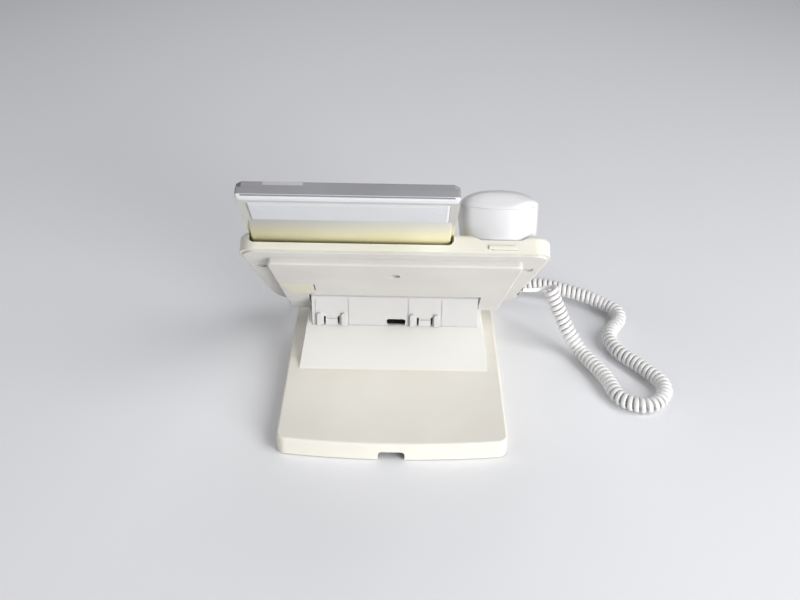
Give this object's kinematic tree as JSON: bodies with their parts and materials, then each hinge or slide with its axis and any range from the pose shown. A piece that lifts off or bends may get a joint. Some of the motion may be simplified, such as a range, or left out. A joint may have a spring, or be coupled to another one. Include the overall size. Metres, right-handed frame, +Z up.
{
  "type": "desk telephone",
  "caption": "Desk telephone with tilting display, handset on a curly cord, key panel and a wide stand with a raised neck.",
  "frame": {"origin": "centre of the footprint without the cord, on the desk", "axes": "+Z up, -Y towards the user, +X to the right of the user"},
  "size_m": [0.3436, 0.2337, 0.2031],
  "materials": {
    "case_plastic": "matte",
    "handset_plastic": "satin",
    "key_plastic": "matte",
    "silver_trim": "satin",
    "rubber_pads": "matte",
    "steel": "satin",
    "inner_parts": "matte",
    "window": "gloss",
    "lamp": "satin",
    "cord_jacket": "satin",
    "clear_plug": "gloss"
  },
  "bodies": {
    "phone": {"case_lead": "cord_jacket", "case_plug": "clear_plug", "case_screws": "steel", "curly_cord": "cord_jacket", "handset_hanger": "case_plastic", "handset_jack": "inner_parts", "handset_lead": "cord_jacket", "headset_jack": "inner_parts", "keypad_mat": "rubber_pads", "lan_jack": "inner_parts", "loudspeaker": "inner_parts", "lower_case": "case_plastic", "main_board": "inner_parts", "microphone": "inner_parts", "pc_jack": "inner_parts", "stand_base": "case_plastic", "stand_feet": "rubber_pads", "stand_neck": "case_plastic", "upper_case": "case_plastic"},
    "display": {"display_cover": "case_plastic", "display_back_panel": "case_plastic", "display_bezel": "silver_trim", "display_lens": "window", "lcd_module": "inner_parts", "message_lamp": "lamp", "hinge_pins": "steel"},
    "handset": {"handset_back": "handset_plastic", "handset_front": "handset_plastic", "handset_receiver": "inner_parts", "handset_mic": "inner_parts", "handset_plug": "clear_plug"},
    "dial_key_0": {"dial_key_0": "key_plastic"},
    "dial_key_1": {"dial_key_1": "key_plastic"},
    "dial_key_2": {"dial_key_2": "key_plastic"},
    "dial_key_3": {"dial_key_3": "key_plastic"},
    "dial_key_4": {"dial_key_4": "key_plastic"},
    "dial_key_5": {"dial_key_5": "key_plastic"},
    "dial_key_6": {"dial_key_6": "key_plastic"},
    "dial_key_7": {"dial_key_7": "key_plastic"},
    "dial_key_8": {"dial_key_8": "key_plastic"},
    "dial_key_9": {"dial_key_9": "key_plastic"},
    "dial_key_hash": {"dial_key_hash": "key_plastic"},
    "dial_key_star": {"dial_key_star": "key_plastic"},
    "line_key_1": {"line_key_1": "key_plastic"},
    "line_key_2": {"line_key_2": "key_plastic"},
    "line_key_3": {"line_key_3": "key_plastic"},
    "line_key_4": {"line_key_4": "key_plastic"},
    "line_key_5": {"line_key_5": "key_plastic"},
    "line_key_6": {"line_key_6": "key_plastic"},
    "line_key_7": {"line_key_7": "key_plastic"},
    "line_key_8": {"line_key_8": "key_plastic"},
    "enter_key": {"enter_key": "key_plastic"},
    "soft_key_1": {"soft_key_1": "key_plastic"},
    "soft_key_2": {"soft_key_2": "key_plastic"},
    "soft_key_3": {"soft_key_3": "key_plastic"},
    "soft_key_4": {"soft_key_4": "key_plastic"},
    "navigator_ring": {"navigator_ring": "key_plastic"},
    "volume_rocker": {"volume_rocker": "key_plastic"},
    "hook_switch": {"hook_switch": "inner_parts"}
  },
  "joints": [
    {"name": "display_tilt", "type": "hinge", "parent": "phone", "child": "display", "pos_m": [0.0322, 0.01229, 0.13745], "axis": [1, 0, 0], "range_deg": [-3.2, 40]},
    {"name": "handset_lift", "type": "slide", "parent": "phone", "child": "handset", "axis": [0, -0.766, 0.6428], "range_m": [0, 0.12]},
    {"name": "hook_rise", "type": "slide", "parent": "phone", "child": "hook_switch", "axis": [0, -0.766, 0.6428], "range_m": [0, 0.003]},
    {"name": "navigator_rock", "type": "hinge", "parent": "phone", "child": "navigator_ring", "pos_m": [0.028, -0.01936, 0.10004], "axis": [1, 0, 0], "range_deg": [-3, 3], "stiffness_Nm_per_rad": 0.4},
    {"name": "volume_rock", "type": "hinge", "parent": "phone", "child": "volume_rocker", "pos_m": [0.084, -0.05278, 0.0602], "axis": [1, 0, 0], "range_deg": [-3, 3], "stiffness_Nm_per_rad": 0.3},
    {"name": "dial_key_0_press", "type": "slide", "parent": "phone", "child": "dial_key_0", "axis": [0, 0.766, -0.6428], "range_m": [0, 0.0012], "stiffness_N_per_m": 700},
    {"name": "dial_key_1_press", "type": "slide", "parent": "phone", "child": "dial_key_1", "axis": [0, 0.766, -0.6428], "range_m": [0, 0.0012], "stiffness_N_per_m": 700},
    {"name": "dial_key_2_press", "type": "slide", "parent": "phone", "child": "dial_key_2", "axis": [0, 0.766, -0.6428], "range_m": [0, 0.0012], "stiffness_N_per_m": 700},
    {"name": "dial_key_3_press", "type": "slide", "parent": "phone", "child": "dial_key_3", "axis": [0, 0.766, -0.6428], "range_m": [0, 0.0012], "stiffness_N_per_m": 700},
    {"name": "dial_key_4_press", "type": "slide", "parent": "phone", "child": "dial_key_4", "axis": [0, 0.766, -0.6428], "range_m": [0, 0.0012], "stiffness_N_per_m": 700},
    {"name": "dial_key_5_press", "type": "slide", "parent": "phone", "child": "dial_key_5", "axis": [0, 0.766, -0.6428], "range_m": [0, 0.0012], "stiffness_N_per_m": 700},
    {"name": "dial_key_6_press", "type": "slide", "parent": "phone", "child": "dial_key_6", "axis": [0, 0.766, -0.6428], "range_m": [0, 0.0012], "stiffness_N_per_m": 700},
    {"name": "dial_key_7_press", "type": "slide", "parent": "phone", "child": "dial_key_7", "axis": [0, 0.766, -0.6428], "range_m": [0, 0.0012], "stiffness_N_per_m": 700},
    {"name": "dial_key_8_press", "type": "slide", "parent": "phone", "child": "dial_key_8", "axis": [0, 0.766, -0.6428], "range_m": [0, 0.0012], "stiffness_N_per_m": 700},
    {"name": "dial_key_9_press", "type": "slide", "parent": "phone", "child": "dial_key_9", "axis": [0, 0.766, -0.6428], "range_m": [0, 0.0012], "stiffness_N_per_m": 700},
    {"name": "dial_key_hash_press", "type": "slide", "parent": "phone", "child": "dial_key_hash", "axis": [0, 0.766, -0.6428], "range_m": [0, 0.0012], "stiffness_N_per_m": 700},
    {"name": "dial_key_star_press", "type": "slide", "parent": "phone", "child": "dial_key_star", "axis": [0, 0.766, -0.6428], "range_m": [0, 0.0012], "stiffness_N_per_m": 700},
    {"name": "line_key_1_press", "type": "slide", "parent": "phone", "child": "line_key_1", "axis": [0, 0.766, -0.6428], "range_m": [0, 0.0012], "stiffness_N_per_m": 700},
    {"name": "line_key_2_press", "type": "slide", "parent": "phone", "child": "line_key_2", "axis": [0, 0.766, -0.6428], "range_m": [0, 0.0012], "stiffness_N_per_m": 700},
    {"name": "line_key_3_press", "type": "slide", "parent": "phone", "child": "line_key_3", "axis": [0, 0.766, -0.6428], "range_m": [0, 0.0012], "stiffness_N_per_m": 700},
    {"name": "line_key_4_press", "type": "slide", "parent": "phone", "child": "line_key_4", "axis": [0, 0.766, -0.6428], "range_m": [0, 0.0012], "stiffness_N_per_m": 700},
    {"name": "line_key_5_press", "type": "slide", "parent": "phone", "child": "line_key_5", "axis": [0, 0.766, -0.6428], "range_m": [0, 0.0012], "stiffness_N_per_m": 700},
    {"name": "line_key_6_press", "type": "slide", "parent": "phone", "child": "line_key_6", "axis": [0, 0.766, -0.6428], "range_m": [0, 0.0012], "stiffness_N_per_m": 700},
    {"name": "line_key_7_press", "type": "slide", "parent": "phone", "child": "line_key_7", "axis": [0, 0.766, -0.6428], "range_m": [0, 0.0012], "stiffness_N_per_m": 700},
    {"name": "line_key_8_press", "type": "slide", "parent": "phone", "child": "line_key_8", "axis": [0, 0.766, -0.6428], "range_m": [0, 0.0012], "stiffness_N_per_m": 700},
    {"name": "enter_key_press", "type": "slide", "parent": "phone", "child": "enter_key", "axis": [0, 0.766, -0.6428], "range_m": [0, 0.0012], "stiffness_N_per_m": 700},
    {"name": "soft_key_1_press", "type": "slide", "parent": "display", "child": "soft_key_1", "axis": [0, 0.8007, -0.599], "range_m": [0, 0.0008], "stiffness_N_per_m": 900},
    {"name": "soft_key_2_press", "type": "slide", "parent": "display", "child": "soft_key_2", "axis": [0, 0.8007, -0.599], "range_m": [0, 0.0008], "stiffness_N_per_m": 900},
    {"name": "soft_key_3_press", "type": "slide", "parent": "display", "child": "soft_key_3", "axis": [0, 0.8007, -0.599], "range_m": [0, 0.0008], "stiffness_N_per_m": 900},
    {"name": "soft_key_4_press", "type": "slide", "parent": "display", "child": "soft_key_4", "axis": [0, 0.8007, -0.599], "range_m": [0, 0.0008], "stiffness_N_per_m": 900}
  ],
  "couplings": [
    {"joint": "hook_rise", "follows": "handset_lift", "ratio": 0.025}
  ]
}
